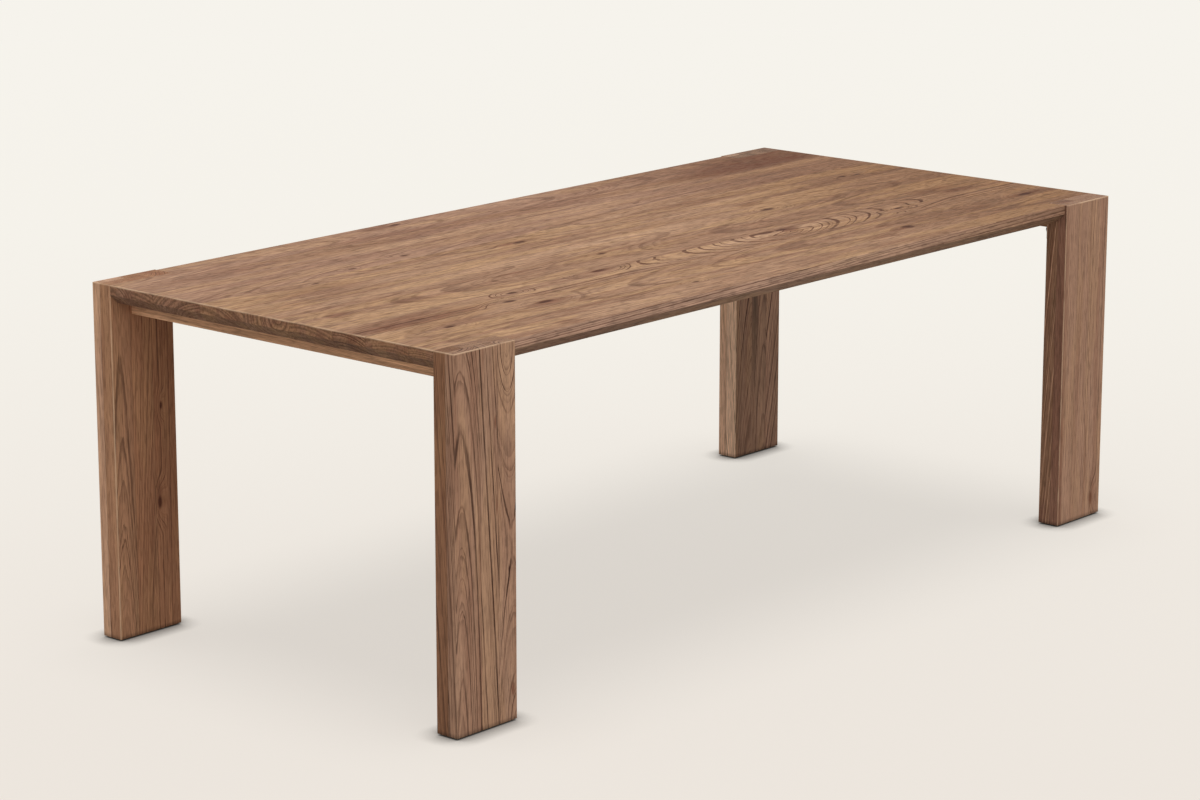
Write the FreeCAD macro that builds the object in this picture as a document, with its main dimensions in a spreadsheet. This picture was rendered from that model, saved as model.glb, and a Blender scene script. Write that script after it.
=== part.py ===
import FreeCAD, Part
import math
import os
import re

import Sketcher

# A parsons dining table in solid elm. The slab legs run up through notches in the corners of the
# top and finish flush with it. Origin: centre of the footprint, on the floor. X runs along the
# table, Y from the front to the back, Z up. Lengths in millimetres.

doc = FreeCAD.newDocument("ParsonsTable")

# ---------------------------------------------------------------- driving dimensions
sizes = (
    ("tableLength", 2200, "length over the legs"),
    ("tableWidth", 1020, "width over the legs"),
    ("tableHeight", 760, "floor to the top surface"),
    ("legWidth", 170, "leg, along the table"),
    ("legThickness", 54, "leg, across the table"),
    ("outerEndStave", 70, "outer layer of a leg: stave at the table's end"),
    ("outerMiddleStave", 49, "outer layer of a leg: middle stave"),
    ("innerEndStave", 52, "inner layer of a leg: stave at the table's end"),
    ("innerMiddleStave", 57, "inner layer of a leg: middle stave, which takes the mortise"),
    ("arris", 1.5, "rounding of the touched edges"),
    ("topThickness", 40, "thickness of the top"),
    ("edgeBand", 20, "upright part of the top's edge, above the undercut"),
    ("sideRecess", 6, "long edge of the top behind the face of the legs"),
    ("edgeBoardWidth", 112, "board that the legs are notched into"),
    ("boardShare2", 115, "inner boards share the rest of the width in these parts"),
    ("boardShare3", 46, "inner board"),
    ("boardShare4", 43, "inner board"),
    ("boardShare5", 120, "inner board"),
    ("boardShare6", 130, "inner board"),
    ("boardShare7", 126, "inner board"),
    ("boardShare8", 139, "inner board"),
    ("boardShare9", 66, "inner board"),
    ("railWidth", 56, "end rail, along the table, centred on the legs"),
    ("railDrop", 29, "end rail, below the underside of the top"),
    ("tenonThickness", 20, "tenon of the end rail, along the table"),
    ("tenonHeight", 17, "tenon of the end rail, upright"),
    ("tenonLength", 20, "tenon of the end rail, into the leg"),
    ("endSlack", 0.8, "room past the end of a tenon or a fastener in its hole"),
    ("battenWidth", 70, "cross batten, along the table"),
    ("battenHeight", 25, "cross batten, below the underside of the top"),
    ("battenInset", 130, "end of a batten behind the face of the legs"),
    ("battenSpacing", 560, "middle batten to the next"),
    ("battenTaper", 40, "length of the slope at a batten's end"),
    ("battenTip", 9, "height left at a batten's end"),
    ("seatThickness", 14, "wood left in the rail under a screw's head"),
    ("slotTravel", 6, "how far a slotted screw lets the top move"),
    ("screwDiameter", 5, "wood screw, shank"),
    ("screwHeadDiameter", 12, "wood screw, broad flat head"),
    ("screwHeadHeight", 2.6, "wood screw, broad flat head"),
    ("screwBite", 22, "wood screw, depth in the top"),
    ("steelThickness", 4, "leg bracket, plate"),
    ("bracketFlange", 44, "leg bracket, each flange"),
    ("bracketGap", 6, "leg bracket to the rail, and to the leg's inner edge"),
    ("boltDiameter", 8, "leg bolt, shank"),
    ("boltHeadWidth", 13, "leg bolt, hexagon head across the flats"),
    ("boltHeadHeight", 5.3, "leg bolt, head"),
    ("insertDiameter", 12, "threaded insert, outside"),
    ("insertLength", 20, "threaded insert"),
    ("glideDiameter", 28, "foot glide"),
    ("glideHeight", 3, "foot glide, below the wood"),
    ("glideInset", 28, "foot glide from the edges of the leg"),
    ("stemDiameter", 5, "stem of a foot glide"),
    ("stemLength", 16, "stem of a foot glide"),
    ("stemCover", 1.5, "wood between a stem and the seam of the leg's layers"),
    ("fitClearance", 0.1, "play on each side of a round piece in its hole"),
    ("headRoom", 1, "room round a sunk screw head"),
)
aliases = {alias for alias, size, note in sizes}

sheet = doc.addObject("Spreadsheet::Sheet", "Sizes")
for row, (alias, size, note) in enumerate(sizes, start=1):
    sheet.set("A%d" % row, note)
    sheet.set("B%d" % row, str(size))
    sheet.setAlias("B%d" % row, alias)
doc.recompute()

# ---------------------------------------------------------------- derived sizes, as expressions
undercut = "(topThickness - edgeBand)"
underside = "(tableHeight - topThickness)"
top_half = "(tableWidth / 2 - sideRecess)"
outer_layer = "(legThickness / 2 - stemDiameter / 2 - stemCover)"
leg_inner_face = "(tableWidth / 2 - legThickness)"
leg_middle = "(tableLength / 2 - legWidth / 2)"
rail_length = "(tableWidth - 2 * legThickness)"
tenon_bottom = "(railDrop / 2 - tenonHeight / 2)"
batten_length = "(tableWidth - 2 * battenInset)"
bracket_width = "((legWidth - railWidth) / 2 - 2 * bracketGap)"
bracket_middle = "(tableLength / 2 - (3 * legWidth + railWidth) / 4)"
bolt_height = "(tableHeight - topThickness - steelThickness / 2 - bracketFlange / 2)"
bolt_spread = "(%s / 4)" % bracket_width
screw_hole = "(screwDiameter + 2 * fitClearance)"
shares = ["boardShare%d" % number for number in range(2, 10)]
board_count = len(shares) + 2
screwed_boards = (2, 5, 7, 8)
batten_places = (-1, 0, 1)
nearly_zero = 1e-4
corners = {
    "front_left": (-1, -1),
    "front_right": (1, -1),
    "back_left": (-1, 1),
    "back_right": (1, 1),
}


def bound(text):
    """Writes every alias in an expression as its cell in the sheet."""
    return re.sub(r"[A-Za-z]\w*", lambda word: "Sizes." + word.group() if word.group() in aliases
                  else word.group(), str(text))


def measure(text):
    """The number that an expression gives now."""
    return float(sheet.evalExpression(bound(text)))


def board_edges(number):
    """Where a board of the top starts and ends across the table, as expressions."""
    if number == 1:
        return "-" + top_half, "(edgeBoardWidth - %s)" % top_half
    if number == board_count:
        return "(%s - edgeBoardWidth)" % top_half, top_half
    inner_span = "(2 * %s - 2 * edgeBoardWidth)" % top_half
    whole = "(" + " + ".join(shares) + ")"
    before = " + ".join(["0"] + shares[:number - 2])
    up_to = before + " + " + shares[number - 2]
    edge = "(edgeBoardWidth - {half} + {span} * ({part}) / {whole})"
    start = edge.format(half=top_half, span=inner_span, part=before, whole=whole)
    end = edge.format(half=top_half, span=inner_span, part=up_to, whole=whole)
    return start, end


def board_middle(number):
    start, end = board_edges(number)
    return "((%s + %s) / 2)" % (start, end)


def bracket_hole(side_x, step):
    """Where a hole of a leg bracket lies along the table."""
    return "(%d * %s + %d * %s)" % (side_x, bracket_middle, step, bolt_spread)


# ---------------------------------------------------------------- sketch and feature helpers
def place(thing, x, y, z, turn=None):
    """Binds a placement to the sheet; turn is a rotation that stays."""
    if turn is not None:
        thing.Placement = FreeCAD.Placement(FreeCAD.Vector(), turn)
    for axis, text in (("x", x), ("y", y), ("z", z)):
        thing.setExpression(".Placement.Base." + axis, bound(text))


def new_body(label, x="0", y="0", z="0", turn=None):
    body = doc.addObject("PartDesign::Body", label)
    body.Label = label
    place(body, x, y, z, turn)
    return body


def new_sketch(body, name, role, lift="0"):
    """A sketch on one of the body's own planes, moved along that plane's normal."""
    sketch = body.newObject("Sketcher::SketchObject", name)
    plane = next(thing for thing in body.Origin.OriginFeatures if thing.Role == role)
    sketch.AttachmentSupport = [(plane, "")]
    sketch.MapMode = "FlatFace"
    sketch.setExpression(".AttachmentOffset.Base.z", bound(lift))
    return sketch


def locate(sketch, geometry, position, x, y):
    """Ties a point to its distances from the sketch's origin."""
    for kind, text in (("DistanceX", x), ("DistanceY", y)):
        index = sketch.addConstraint(
            Sketcher.Constraint(kind, -1, 1, geometry, position, measure(text)))
        sketch.setExpression("Constraints[%d]" % index, bound(text))


def draw_outline(sketch, points):
    """A closed outline of straight lines through points given as expressions."""
    places = [FreeCAD.Vector(measure(x), measure(y), 0) for x, y in points]
    count = len(places)
    lines = [sketch.addGeometry(Part.LineSegment(places[i], places[(i + 1) % count]))
             for i in range(count)]
    for i, (x, y) in enumerate(points):
        sketch.addConstraint(Sketcher.Constraint("Coincident", lines[i - 1], 2, lines[i], 1))
        locate(sketch, lines[i], 1, x, y)


def draw_rectangle(sketch, left, bottom, right, top):
    draw_outline(sketch, [(left, bottom), (right, bottom), (right, top), (left, top)])


def draw_circle(sketch, x, y, diameter):
    centre = FreeCAD.Vector(measure(x), measure(y), 0)
    circle = sketch.addGeometry(
        Part.Circle(centre, FreeCAD.Vector(0, 0, 1), measure(diameter) / 2))
    locate(sketch, circle, 3, x, y)
    index = sketch.addConstraint(Sketcher.Constraint("Diameter", circle, measure(diameter)))
    sketch.setExpression("Constraints[%d]" % index, bound(diameter))


def draw_slot(sketch, x, y, travel, diameter):
    """A round-ended slot along the sketch's Y, whose end circles lie travel apart."""
    radius = measure(diameter) / 2
    reach = measure(travel) / 2
    middle = FreeCAD.Vector(measure(x), measure(y), 0)
    up = FreeCAD.Vector(0, 0, 1)
    right_line = sketch.addGeometry(Part.LineSegment(
        middle + FreeCAD.Vector(radius, -reach, 0), middle + FreeCAD.Vector(radius, reach, 0)))
    far_arc = sketch.addGeometry(Part.ArcOfCircle(
        Part.Circle(middle + FreeCAD.Vector(0, reach, 0), up, radius), 0, math.pi))
    left_line = sketch.addGeometry(Part.LineSegment(
        middle + FreeCAD.Vector(-radius, reach, 0), middle + FreeCAD.Vector(-radius, -reach, 0)))
    near_arc = sketch.addGeometry(Part.ArcOfCircle(
        Part.Circle(middle - FreeCAD.Vector(0, reach, 0), up, radius), math.pi, 2 * math.pi))
    for first, second in ((right_line, far_arc), (far_arc, left_line), (left_line, near_arc),
                          (near_arc, right_line)):
        sketch.addConstraint(Sketcher.Constraint("Tangent", first, 2, second, 1))
    locate(sketch, far_arc, 3, x, "%s + %s / 2" % (y, travel))
    locate(sketch, near_arc, 3, x, "%s - %s / 2" % (y, travel))
    index = sketch.addConstraint(Sketcher.Constraint("Radius", far_arc, radius))
    sketch.setExpression("Constraints[%d]" % index, bound("%s / 2" % diameter))


def add_pad(body, sketch, length, middle=False, reverse=False):
    pad = body.newObject("PartDesign::Pad", "Pad")
    pad.Profile = sketch
    pad.SideType = "Symmetric" if middle else "One side"
    pad.Reversed = reverse
    pad.setExpression("Length", bound(length))
    doc.recompute()
    return pad


def add_pocket(body, sketch, depth, forward):
    """Cuts along the sketch plane's normal where forward, against it otherwise."""
    before = body.Shape.Volume
    pocket = body.newObject("PartDesign::Pocket", "Pocket")
    pocket.Profile = sketch
    pocket.Reversed = forward
    pocket.setExpression("Length", bound(depth))
    doc.recompute()
    if not body.Shape.Volume < before:
        raise RuntimeError("%s: %s cuts nothing" % (body.Label, sketch.Label))
    return pocket


def edges_where(shape, test):
    """Names of the edges whose two ends both pass the test."""
    return ["Edge%d" % (i + 1) for i, edge in enumerate(shape.Edges)
            if all(test(vertex.Point) for vertex in edge.Vertexes)]


def dress(body, kind, names, size):
    """A fillet or a chamfer on named edges of the body's last feature."""
    if not names:
        raise RuntimeError("%s: no edge for its %s" % (body.Label, kind))
    base = body.Tip
    feature = body.newObject("PartDesign::" + kind, kind)
    feature.Base = (base, names)
    feature.setExpression("Radius" if kind == "Fillet" else "Size", bound(size))
    doc.recompute()
    return feature


def same(a, b):
    """True of two lengths closer than anything that is modelled."""
    return abs(a - b) < nearly_zero


# ---------------------------------------------------------------- top boards
def make_board(number):
    """A board runs the whole length. Its ends are undercut; an edge board is also undercut along
    its outer side and notched round the two legs."""
    start, end = board_edges(number)
    width = "(%s - %s)" % (end, start)
    board = new_body("top_board_%02d" % number, "0", board_middle(number), underside)
    half = "tableLength / 2"
    side = new_sketch(board, "SideProfile", "XZ_Plane")
    draw_outline(side, [
        ("%s - %s" % (undercut, half), "0"), ("%s - %s" % (half, undercut), "0"),
        (half, undercut), (half, "topThickness"),
        ("-" + half, "topThickness"), ("-" + half, undercut)])
    add_pad(board, side, width, middle=True)
    outward = {1: -1, board_count: 1}.get(number, 0)
    if outward:
        notch_board(board, width, outward)
    top = measure("topThickness")
    length = measure("tableLength")
    outer = measure(width) / 2 * outward

    def touched(point):
        at_end = same(abs(point.x), length / 2)
        return same(point.z, top) and (at_end or (outward and same(point.y, outer)))

    arrises = [name for name in edges_where(board.Tip.Shape, touched)
               if not runs_into_board(board.Tip.Shape, name, outer, outward)]
    dress(board, "Fillet", arrises, "arris")
    if outward:
        screw_edge_board(board, width, outward)
    elif number in screwed_boards:
        screw_board(board)
    return board


def runs_into_board(shape, name, outer, outward):
    """True of an edge that joins an end of the board to its side, such as a notch's edge."""
    first, second = [vertex.Point for vertex in shape.Edges[int(name[4:]) - 1].Vertexes]
    along_end = same(first.x, second.x)
    along_side = outward and same(first.y, outer) and same(second.y, outer)
    return not (along_end or along_side)


def notch_board(board, width, outward):
    notches = new_sketch(board, "LegNotches", "XY_Plane")
    wall = "%d * (%s / 2 - legThickness + sideRecess)" % (outward, width)
    beyond = "%d * (%s / 2 + legThickness)" % (outward, width)
    for sign in (-1, 1):
        inner = "%d * (tableLength / 2 - legWidth)" % sign
        outer = "%d * (tableLength / 2 + legWidth)" % sign
        draw_rectangle(notches, inner, wall, outer, beyond)
    add_pocket(board, notches, "topThickness", forward=True)
    outer_side = measure(width) / 2 * outward
    lower = edges_where(board.Tip.Shape, lambda point: same(point.z, 0) and same(point.y, outer_side))
    dress(board, "Chamfer", lower, undercut)


def screw_board(board):
    """Pilot holes from below for the screws of the battens and the end rails."""
    pilots = new_sketch(board, "Pilots", "XY_Plane")
    across = ["%d * battenSpacing" % step for step in batten_places]
    across += ["%d * %s" % (side_x, leg_middle) for side_x in (-1, 1)]
    for x in across:
        draw_circle(pilots, x, "0", screw_hole)
    add_pocket(board, pilots, "screwBite + endSlack", forward=True)


def screw_edge_board(board, width, outward):
    """Pilot holes from below for the screws of the two leg brackets."""
    pilots = new_sketch(board, "BracketPilots", "XY_Plane")
    notch_wall = "%s / 2 - legThickness + sideRecess" % width
    inward = "%d * (%s - steelThickness / 2 - bracketFlange / 2)" % (outward, notch_wall)
    for side_x in (-1, 1):
        for step in (-1, 1):
            draw_circle(pilots, bracket_hole(side_x, step), inward, screw_hole)
    add_pocket(board, pilots, "screwBite + endSlack", forward=True)


# ---------------------------------------------------------------- legs
def make_stave(corner, layer, number):
    """One lamella of a leg. Stave 1 is at the table's end; the inner layer faces the leg room and
    takes the rail's mortise, the inserts and the glides' stems."""
    side_x, side_y = corners[corner]
    if layer == "outer":
        seams = ["0", "outerEndStave", "(outerEndStave + outerMiddleStave)", "legWidth"]
        near, far = "0", outer_layer
    else:
        seams = ["0", "innerEndStave", "(innerEndStave + innerMiddleStave)", "legWidth"]
        near, far = outer_layer, "legThickness"
    start, end = seams[number - 1], seams[number]
    label = "leg_%s_%s_stave_%d" % (corner, layer, number)
    stave = new_body(label, "%d * tableLength / 2" % side_x, "%d * tableWidth / 2" % side_y,
                     "glideHeight")
    plan = new_sketch(stave, "Plan", "XY_Plane")
    draw_rectangle(plan, "%d * %s" % (-side_x, start), "%d * %s" % (-side_y, near),
                   "%d * %s" % (-side_x, end), "%d * %s" % (-side_y, far))
    add_pad(stave, plan, "tableHeight - glideHeight")
    ease_stave(stave)
    if layer == "inner":
        bore_stave(stave, side_x, side_y, number)
    return stave


def ease_stave(stave):
    """Rounds the edges of the leg that show: its upright corners, its foot, and its upper edges on
    the two outer faces. Where leg and top meet flush, the edges stay sharp."""
    wide = measure("legWidth")
    thick = measure("legThickness")
    high = measure("tableHeight - glideHeight")
    names = []
    for i, edge in enumerate(stave.Tip.Shape.Edges):
        ends = [vertex.Point for vertex in edge.Vertexes]
        at_end = all(same(end.x, 0) for end in ends)
        at_inner_end = all(same(abs(end.x), wide) for end in ends)
        at_front = all(same(end.y, 0) for end in ends)
        at_back = all(same(abs(end.y), thick) for end in ends)
        corner = (at_end or at_inner_end) and (at_front or at_back)
        foot = all(same(end.z, 0) for end in ends)
        head = all(same(end.z, high) for end in ends)
        foot_edge = foot and (at_end or at_inner_end or at_front or at_back)
        head_edge = head and (at_end or at_front)
        if corner or foot_edge or head_edge:
            names.append("Edge%d" % (i + 1))
    dress(stave, "Fillet", names, "arris")


def bore_stave(stave, side_x, side_y, number):
    """Cuts the mortise into the middle stave, and the holes of glides and inserts into the rest."""
    face = "%d * legThickness" % side_y
    into_leg = side_y < 0
    if number == 2:
        mortise = new_sketch(stave, "Mortise", "XZ_Plane", face)
        middle = "(%d * legWidth / 2)" % -side_x
        bottom = "(%s - glideHeight - railDrop + %s)" % (underside, tenon_bottom)
        draw_rectangle(mortise, "%s - tenonThickness / 2" % middle, bottom,
                       "%s + tenonThickness / 2" % middle, "%s + tenonHeight" % bottom)
        add_pocket(stave, mortise, "tenonLength + endSlack", forward=into_leg)
        return
    if number == 3:
        inserts = new_sketch(stave, "InsertHoles", "XZ_Plane", face)
        for step in (-1, 1):
            x = "%s - %d * tableLength / 2" % (bracket_hole(side_x, step), side_x)
            draw_circle(inserts, x, "%s - glideHeight" % bolt_height,
                        "insertDiameter + 2 * fitClearance")
        add_pocket(stave, inserts, "insertLength + endSlack", forward=into_leg)
    stem = new_sketch(stave, "StemHole", "XY_Plane")
    inset = {1: "glideInset", 3: "(legWidth - glideInset)"}[number]
    draw_circle(stem, "%d * %s" % (-side_x, inset), "%d * legThickness / 2" % -side_y,
                "stemDiameter + 2 * fitClearance")
    add_pocket(stave, stem, "stemLength + endSlack", forward=True)


# ---------------------------------------------------------------- end rails and cross battens
def make_rail(label, side_x):
    """A rail across the table's end, centred on the legs and tenoned into them, with sunk holes
    for the screws that hold the top down."""
    rail = new_body(label, "%d * %s" % (side_x, leg_middle), "0", "%s - railDrop" % underside)
    section = new_sketch(rail, "Section", "XZ_Plane")
    draw_rectangle(section, "-railWidth / 2", "0", "railWidth / 2", "railDrop")
    add_pad(rail, section, rail_length, middle=True)
    long_edges = [name for name in edges_where(rail.Tip.Shape, lambda point: same(point.z, 0))
                  if rail.Tip.Shape.Edges[int(name[4:]) - 1].Length > measure("railWidth") + 1]
    dress(rail, "Fillet", long_edges, "arris")
    tenons = new_sketch(rail, "Tenons", "XZ_Plane")
    draw_rectangle(tenons, "-tenonThickness / 2", tenon_bottom, "tenonThickness / 2",
                   "%s + tenonHeight" % tenon_bottom)
    add_pad(rail, tenons, "%s + 2 * tenonLength" % rail_length, middle=True)
    shanks = new_sketch(rail, "ShankHoles", "XY_Plane")
    heads = new_sketch(rail, "HeadHoles", "XY_Plane")
    for number in screwed_boards:
        draw_circle(shanks, "0", board_middle(number), screw_hole)
        draw_circle(heads, "0", board_middle(number), "screwHeadDiameter + 2 * headRoom")
    add_pocket(rail, shanks, "railDrop", forward=True)
    add_pocket(rail, heads, "railDrop - seatThickness", forward=True)
    return rail


def make_batten(label, step):
    """A batten across the underside, with sloped ends. Its screws stand in slots, so that the top
    can swell and shrink across its boards."""
    batten = new_body(label, "%d * battenSpacing" % step, "0", "%s - battenHeight" % underside)
    half = batten_length + " / 2"
    profile = new_sketch(batten, "SideProfile", "YZ_Plane")
    draw_outline(profile, [
        ("battenTaper - " + half, "0"), (half + " - battenTaper", "0"),
        (half, "battenHeight - battenTip"), (half, "battenHeight"),
        ("-" + half, "battenHeight"), ("-" + half, "battenHeight - battenTip")])
    add_pad(batten, profile, "battenWidth", middle=True)
    lower = [name for name in edges_where(batten.Tip.Shape, lambda point: same(point.z, 0))
             if batten.Tip.Shape.Edges[int(name[4:]) - 1].Length > measure("battenWidth") + 1]
    dress(batten, "Fillet", lower, "arris")
    slots = new_sketch(batten, "ScrewSlots", "XY_Plane")
    for number in screwed_boards:
        draw_slot(slots, "0", board_middle(number), "slotTravel", screw_hole)
    add_pocket(batten, slots, "battenHeight", forward=True)
    return batten


# ---------------------------------------------------------------- leg brackets
def make_bracket(corner):
    """A steel angle in the corner of leg and top, bent with a round as thick as the plate."""
    side_x, side_y = corners[corner]
    turn = FreeCAD.Rotation(FreeCAD.Vector(0, 0, 1), 0 if side_y < 0 else 180)
    bracket = new_body("leg_bracket_" + corner, "%d * %s" % (side_x, bracket_middle),
                       "%d * %s" % (side_y, leg_inner_face), underside, turn)
    angle = new_sketch(bracket, "Angle", "YZ_Plane")
    draw_outline(angle, [("0", "0"), ("0", "-bracketFlange"), ("steelThickness", "-bracketFlange"),
                         ("steelThickness", "-steelThickness"),
                         ("bracketFlange", "-steelThickness"), ("bracketFlange", "0")])
    add_pad(bracket, angle, bracket_width, middle=True)
    plate = measure("steelThickness")
    bend = edges_where(bracket.Tip.Shape, lambda point: same(point.y, plate) and same(point.z, -plate))
    dress(bracket, "Fillet", bend, "steelThickness / 2")
    middle = "(steelThickness / 2 + bracketFlange / 2)"
    bolts = new_sketch(bracket, "BoltHoles", "XZ_Plane")
    screws = new_sketch(bracket, "ScrewHoles", "XY_Plane")
    for step in (-1, 1):
        x = "%d * %s" % (step, bolt_spread)
        draw_circle(bolts, x, "-" + middle, "boltDiameter + 2 * fitClearance")
        draw_circle(screws, x, middle, screw_hole)
    add_pocket(bracket, bolts, "steelThickness", forward=False)
    add_pocket(bracket, screws, "steelThickness", forward=False)
    return bracket


# ---------------------------------------------------------------- fasteners and glides
def make_turned(label, points):
    """A round piece, from half of its outline: distance from the axis, then along it."""
    piece = new_body(label)
    half = new_sketch(piece, "HalfProfile", "XZ_Plane")
    draw_outline(half, points)
    turned = piece.newObject("PartDesign::Revolution", "Revolution")
    turned.Profile = half
    turned.ReferenceAxis = (half, ["V_Axis"])
    turned.Angle = 360
    doc.recompute()
    return piece


def make_screw(label, clamped):
    """A flat-headed wood screw, point up, whose head bears at height zero."""
    length = "(%s + screwBite)" % clamped
    return make_turned(label, [
        ("0", "-screwHeadHeight"), ("screwHeadDiameter / 2", "-screwHeadHeight"),
        ("screwHeadDiameter / 2", "0"), ("screwDiameter / 2", "0"),
        ("screwDiameter / 2", length + " - screwDiameter"), ("0", length)])


def make_bolt(label):
    """A hexagon bolt, end up, whose head bears at height zero."""
    bolt = new_body(label)
    head = new_sketch(bolt, "Head", "XY_Plane")
    flat = "boltHeadWidth / 2"
    point = "boltHeadWidth / sqrt(3)"
    draw_outline(head, [(point, "0"), (point + " / 2", flat), ("-" + point + " / 2", flat),
                        ("-" + point, "0"), ("-" + point + " / 2", "-" + flat),
                        (point + " / 2", "-" + flat)])
    add_pad(bolt, head, "boltHeadHeight", reverse=True)
    shank = new_sketch(bolt, "Shank", "XY_Plane")
    draw_circle(shank, "0", "0", "boltDiameter")
    add_pad(bolt, shank, "steelThickness + insertLength")
    return bolt


def make_insert(label):
    """A threaded insert for the leg bolts, mouth at height zero."""
    insert = new_body(label)
    ring = new_sketch(insert, "Ring", "XY_Plane")
    draw_circle(ring, "0", "0", "insertDiameter")
    draw_circle(ring, "0", "0", "boltDiameter + 2 * fitClearance")
    add_pad(insert, ring, "insertLength")
    return insert


def make_glide(label):
    """A foot glide: a bevelled disc on a driven stem."""
    return make_turned(label, [
        ("0", "0"), ("glideDiameter / 2 - glideHeight / 2", "0"),
        ("glideDiameter / 2", "glideHeight"), ("stemDiameter / 2", "glideHeight"),
        ("stemDiameter / 2", "glideHeight + stemLength - stemDiameter / 2"),
        ("0", "glideHeight + stemLength")])


def make_group(label, master, places):
    """Copies of one piece, each a separate solid, as one sub-part."""
    copies = []
    for x, y, z, turn in places:
        copy = doc.addObject("App::Link", master.Label + "_copy")
        copy.LinkedObject = master
        place(copy, x, y, z, turn)
        copies.append(copy)
    group = doc.addObject("Part::Compound", label)
    group.Label = label
    group.Links = copies
    doc.recompute()
    return group


upright = FreeCAD.Rotation()
towards_leg = {
    -1: FreeCAD.Rotation(FreeCAD.Vector(1, 0, 0), 90),
    1: FreeCAD.Rotation(FreeCAD.Vector(1, 0, 0), -90),
}


def make_fasteners():
    rail_screws = []
    batten_screws = []
    for number in screwed_boards:
        y = board_middle(number)
        for side_x in (-1, 1):
            x = "%d * %s" % (side_x, leg_middle)
            rail_screws.append((x, y, "%s - seatThickness" % underside, upright))
        for step in batten_places:
            x = "%d * battenSpacing" % step
            batten_screws.append((x, y, "%s - battenHeight" % underside, upright))
    bracket_screws = []
    bolts = []
    inserts = []
    glides = []
    for side_x, side_y in corners.values():
        face = "%d * %s" % (side_y, leg_inner_face)
        bolt_seat = "%d * (%s - steelThickness)" % (side_y, leg_inner_face)
        screw_y = "%d * (%s - steelThickness / 2 - bracketFlange / 2)" % (side_y, leg_inner_face)
        for step in (-1, 1):
            x = bracket_hole(side_x, step)
            bracket_screws.append((x, screw_y, "%s - steelThickness" % underside, upright))
            bolts.append((x, bolt_seat, bolt_height, towards_leg[side_y]))
            inserts.append((x, face, bolt_height, towards_leg[side_y]))
        for inset in ("glideInset", "(legWidth - glideInset)"):
            x = "%d * (tableLength / 2 - %s)" % (side_x, inset)
            y = "%d * (tableWidth / 2 - legThickness / 2)" % side_y
            glides.append((x, y, "0", upright))
    return [
        make_group("rail_screws", make_screw("rail_screw", "seatThickness"), rail_screws),
        make_group("batten_screws", make_screw("batten_screw", "battenHeight"), batten_screws),
        make_group("bracket_screws", make_screw("bracket_screw", "steelThickness"), bracket_screws),
        make_group("leg_bolts", make_bolt("leg_bolt"), bolts),
        make_group("threaded_inserts", make_insert("threaded_insert"), inserts),
        make_group("foot_glides", make_glide("foot_glide"), glides)]


# ---------------------------------------------------------------- the table
subparts = [make_board(number) for number in range(1, board_count + 1)]
subparts += [make_stave(corner, layer, number) for corner in corners
             for layer in ("outer", "inner") for number in (1, 2, 3)]
subparts += [make_rail("end_rail_left", -1), make_rail("end_rail_right", 1)]
subparts += [make_batten("batten_left", -1), make_batten("batten_middle", 0),
             make_batten("batten_right", 1)]
subparts += [make_bracket(corner) for corner in corners]
subparts += make_fasteners()
doc.recompute()

for thing in doc.Objects:
    if "Invalid" in thing.State or "Error" in thing.State:
        raise RuntimeError("%s failed: %s" % (thing.Label, thing.State))
for subpart in subparts:
    if subpart.Shape.isNull() or not subpart.Shape.isValid() or not subpart.Shape.Solids:
        raise RuntimeError(subpart.Label + " has no valid solid")

os.makedirs("parts", exist_ok=True)
for subpart in subparts:
    subpart.Shape.exportStep("parts/%s.step" % subpart.Label)
box = Part.makeCompound([subpart.Shape for subpart in subparts]).BoundBox
print("sub-parts: %d, solids: %d" % (len(subparts), sum(len(s.Shape.Solids) for s in subparts)))
print("box: %.1f x %.1f x %.1f, floor at %.2f" % (box.XLength, box.YLength, box.ZLength, box.ZMin))
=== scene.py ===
# Parsons dining table: the finishes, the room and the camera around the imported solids.
import math

import bpy
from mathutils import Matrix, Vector


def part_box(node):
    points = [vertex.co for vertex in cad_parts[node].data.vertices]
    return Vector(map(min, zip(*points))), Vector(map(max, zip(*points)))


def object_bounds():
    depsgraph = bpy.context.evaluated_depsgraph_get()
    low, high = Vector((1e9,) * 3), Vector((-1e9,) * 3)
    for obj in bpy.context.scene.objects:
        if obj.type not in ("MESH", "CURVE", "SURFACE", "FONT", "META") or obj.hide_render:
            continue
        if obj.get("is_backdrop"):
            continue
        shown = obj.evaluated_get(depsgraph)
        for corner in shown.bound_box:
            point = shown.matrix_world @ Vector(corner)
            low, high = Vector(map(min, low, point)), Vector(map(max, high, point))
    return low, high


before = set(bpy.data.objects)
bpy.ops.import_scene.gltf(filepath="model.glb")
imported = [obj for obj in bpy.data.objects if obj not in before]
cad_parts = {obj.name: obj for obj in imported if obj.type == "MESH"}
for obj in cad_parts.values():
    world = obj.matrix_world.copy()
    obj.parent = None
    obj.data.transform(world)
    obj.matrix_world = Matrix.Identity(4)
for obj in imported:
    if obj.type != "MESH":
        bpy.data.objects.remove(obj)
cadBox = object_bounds()
print("frame loaded:", len(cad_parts), "nodes")


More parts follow.
